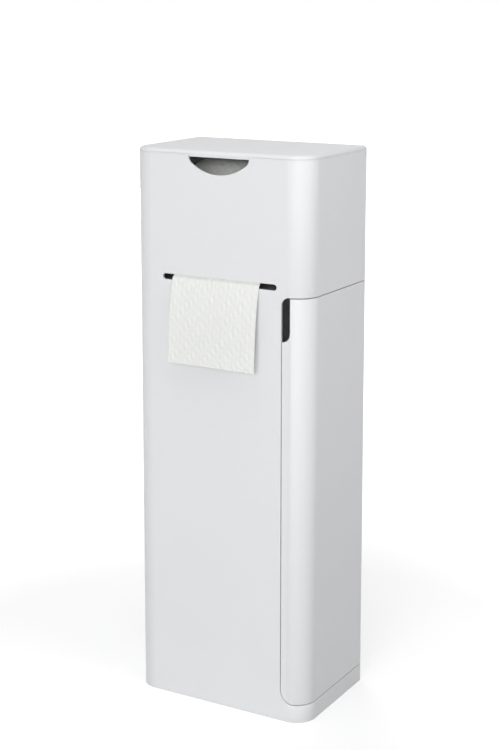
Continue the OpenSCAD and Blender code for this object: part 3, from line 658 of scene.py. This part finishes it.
class STAND_OT_paper(bpy.types.Operator):
    """Gives the roll, its core and the hanging sheet their paper"""

    bl_idname = "stand.paper"
    bl_label = "Paper"

    def execute(self, context):
        scene = context.scene
        sizes, paper, colours = scene.stand_sizes, scene.stand_paper, scene.stand_colours
        soft = tissue(tuple(colours.paper))
        low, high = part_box("toilet_roll")
        wound_roll(paper, soft, wound_edge(tuple(colours.paper), (low + high) / 2))
        hanging_sheet(sizes, paper, soft)
        dress(nodes["roll_core"], card(tuple(colours.card)))
        return {"FINISHED"}


class STAND_OT_stage(bpy.types.Operator):
    """Makes the floor, lamps, even light and camera"""

    bl_idname = "stand.stage"
    bl_label = "Stage"

    def execute(self, context):
        plan = context.scene.stand_stage
        make_floor(tuple(plan.floor))
        make_lamps(plan)
        make_sky(plan.sky)
        make_camera(plan)
        context.scene.view_settings.view_transform = "Standard"
        return {"FINISHED"}


def white_rays(tree):
    """1 for rays of the camera, of gloss and of clear pieces, which see white, and 0 for others."""
    path = tree.nodes.new("ShaderNodeLightPath")
    total = path.outputs["Is Camera Ray"]
    for kind in ("Is Glossy Ray", "Is Transmission Ray"):
        either = tree.nodes.new("ShaderNodeMath")
        either.operation = "MAXIMUM"
        tree.links.new(total, either.inputs[0])
        tree.links.new(path.outputs[kind], either.inputs[1])
        total = either.outputs["Value"]
    return total


def make_floor(colour):
    """A wide pale floor that the camera sees as near white, with the stand's shadow kept."""
    mesh = bpy.data.meshes.new("stage_floor")
    shape = bmesh.new()
    bmesh.ops.create_grid(shape, x_segments=1, y_segments=1, size=FLOOR_SIZE)
    shape.to_mesh(mesh)
    shape.free()
    floor = bpy.data.objects.new("stage_floor", mesh)
    bpy.context.scene.collection.objects.link(floor)
    material, tree, shader, add = new_material("stage_floor")
    shader.inputs["Base Color"].default_value = (*scaled(colour, FLOOR_SHADE), 1.0)
    shader.inputs["Roughness"].default_value = 0.9
    shader.inputs["Specular IOR Level"].default_value = 0.0
    pale = add("ShaderNodeBsdfDiffuse", Color=(*colour, 1.0))
    coords = object_coordinates(add)
    away = add("ShaderNodeVectorMath", [(coords, "Object", "Vector")], operation="LENGTH")
    white = add("ShaderNodeEmission")
    glow = spread(tree, away.outputs["Value"], GLOW_LOW, 1.0, white.inputs["Strength"])
    glow.inputs["From Min"].default_value = GLOW_NEAR
    glow.inputs["From Max"].default_value = GLOW_FAR
    both = add("ShaderNodeAddShader")
    tree.links.new(pale.outputs["BSDF"], both.inputs[0])
    tree.links.new(white.outputs["Emission"], both.inputs[1])
    seen = add("ShaderNodeMixShader")
    tree.links.new(white_rays(tree), seen.inputs["Fac"])
    tree.links.new(shader.outputs["BSDF"], seen.inputs[1])
    tree.links.new(both.outputs["Shader"], seen.inputs[2])
    tree.links.new(seen.outputs["Shader"], tree.nodes["Material Output"].inputs["Surface"])
    mesh.materials.append(material)


def make_lamps(plan):
    """Soft lamps: a large low one in front, a near one at the right, one overhead, one behind."""
    aim = Vector((0.0, 0.0, LAMP_AIM_HEIGHT))
    for name, turn, rise, reach, size, power in (
        ("key_lamp", 15.0, 5.0, 4.0, 3.4, plan.key_power),
        ("side_lamp", 76.0, 32.0, 0.9, 0.45, plan.side_power),
        ("top_lamp", 10.0, 78.0, 3.0, 1.5, plan.top_power),
        ("back_lamp", -135.0, 12.0, 4.0, 3.0, plan.back_power),
    ):
        lamp = bpy.data.lights.new(name, "AREA")
        lamp.shape = "DISK"
        lamp.size = size
        lamp.energy = power
        holder = bpy.data.objects.new(name, lamp)
        turn, rise = math.radians(turn), math.radians(rise)
        level = math.cos(rise)
        back = Vector((math.sin(turn) * level, -math.cos(turn) * level, math.sin(rise)))
        holder.location = aim + reach * back
        holder.visible_camera = False
        holder.visible_glossy = name != "back_lamp"
        holder.rotation_euler = (-back).to_track_quat("-Z", "Y").to_euler()
        bpy.context.scene.collection.objects.link(holder)


def make_sky(strength):
    """Even white light all round, seen by the camera and in reflections as plain white."""
    world = bpy.data.worlds.new("studio")
    world.use_nodes = True
    tree = world.node_tree
    shade = tree.nodes["Background"]
    shade.inputs["Color"].default_value = (1.0, 1.0, 1.0, 1.0)
    spread(tree, white_rays(tree), strength, 1.0, shade.inputs["Strength"])
    bpy.context.scene.world = world


def make_camera(plan):
    """The camera at the photograph's angle: to the right of the front, looking down."""
    data = bpy.data.cameras.new("camera")
    data.lens = plan.lens
    data.shift_y = plan.shift
    holder = bpy.data.objects.new("camera", data)
    ahead = Vector((-math.sin(plan.azimuth), math.cos(plan.azimuth), 0.0))
    holder.location = Vector((0.0, 0.0, plan.height)) - plan.distance * ahead
    look = ahead * math.cos(plan.tilt) - Vector((0.0, 0.0, math.sin(plan.tilt)))
    holder.rotation_euler = look.to_track_quat("-Z", "Y").to_euler()
    bpy.context.scene.collection.objects.link(holder)
    bpy.context.scene.camera = holder


class STAND_PT_sidebar(bpy.types.Panel):
    """The stand's sizes, colours and making steps"""

    bl_label = "Stand"
    bl_space_type = "VIEW_3D"
    bl_region_type = "UI"
    bl_category = "Stand"

    def draw(self, context):
        scene = context.scene
        for group in (scene.stand_sizes, scene.stand_paper, scene.stand_colours, scene.stand_stage):
            box = self.layout.box()
            for name in group.__annotations__:
                box.prop(group, name)
        for step in STEPS:
            self.layout.operator(step.bl_idname)


STEPS = (
    STAND_OT_shells, STAND_OT_insides, STAND_OT_fittings,
    STAND_OT_brush, STAND_OT_paper, STAND_OT_stage,
)
GROUPS = (
    ("stand_sizes", StandSizes), ("stand_paper", PaperSizes),
    ("stand_colours", StandColours), ("stand_stage", StandStage),
)


def register():
    """Adds the property groups, the operators and the panel."""
    for name, group in GROUPS:
        bpy.utils.register_class(group)
        setattr(bpy.types.Scene, name, PointerProperty(type=group))
    for step in STEPS + (STAND_PT_sidebar,):
        bpy.utils.register_class(step)


def unregister():
    """Takes out the panel, the operators and the property groups."""
    for step in reversed(STEPS + (STAND_PT_sidebar,)):
        bpy.utils.unregister_class(step)
    for name, group in reversed(GROUPS):
        delattr(bpy.types.Scene, name)
        bpy.utils.unregister_class(group)


def main():
    """Registers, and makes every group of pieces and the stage."""
    register()
    bpy.ops.stand.shells()
    bpy.ops.stand.insides()
    bpy.ops.stand.fittings()
    bpy.ops.stand.brush()
    bpy.ops.stand.paper()
    bpy.ops.stand.stage()


if __name__ == "__main__":
    main()
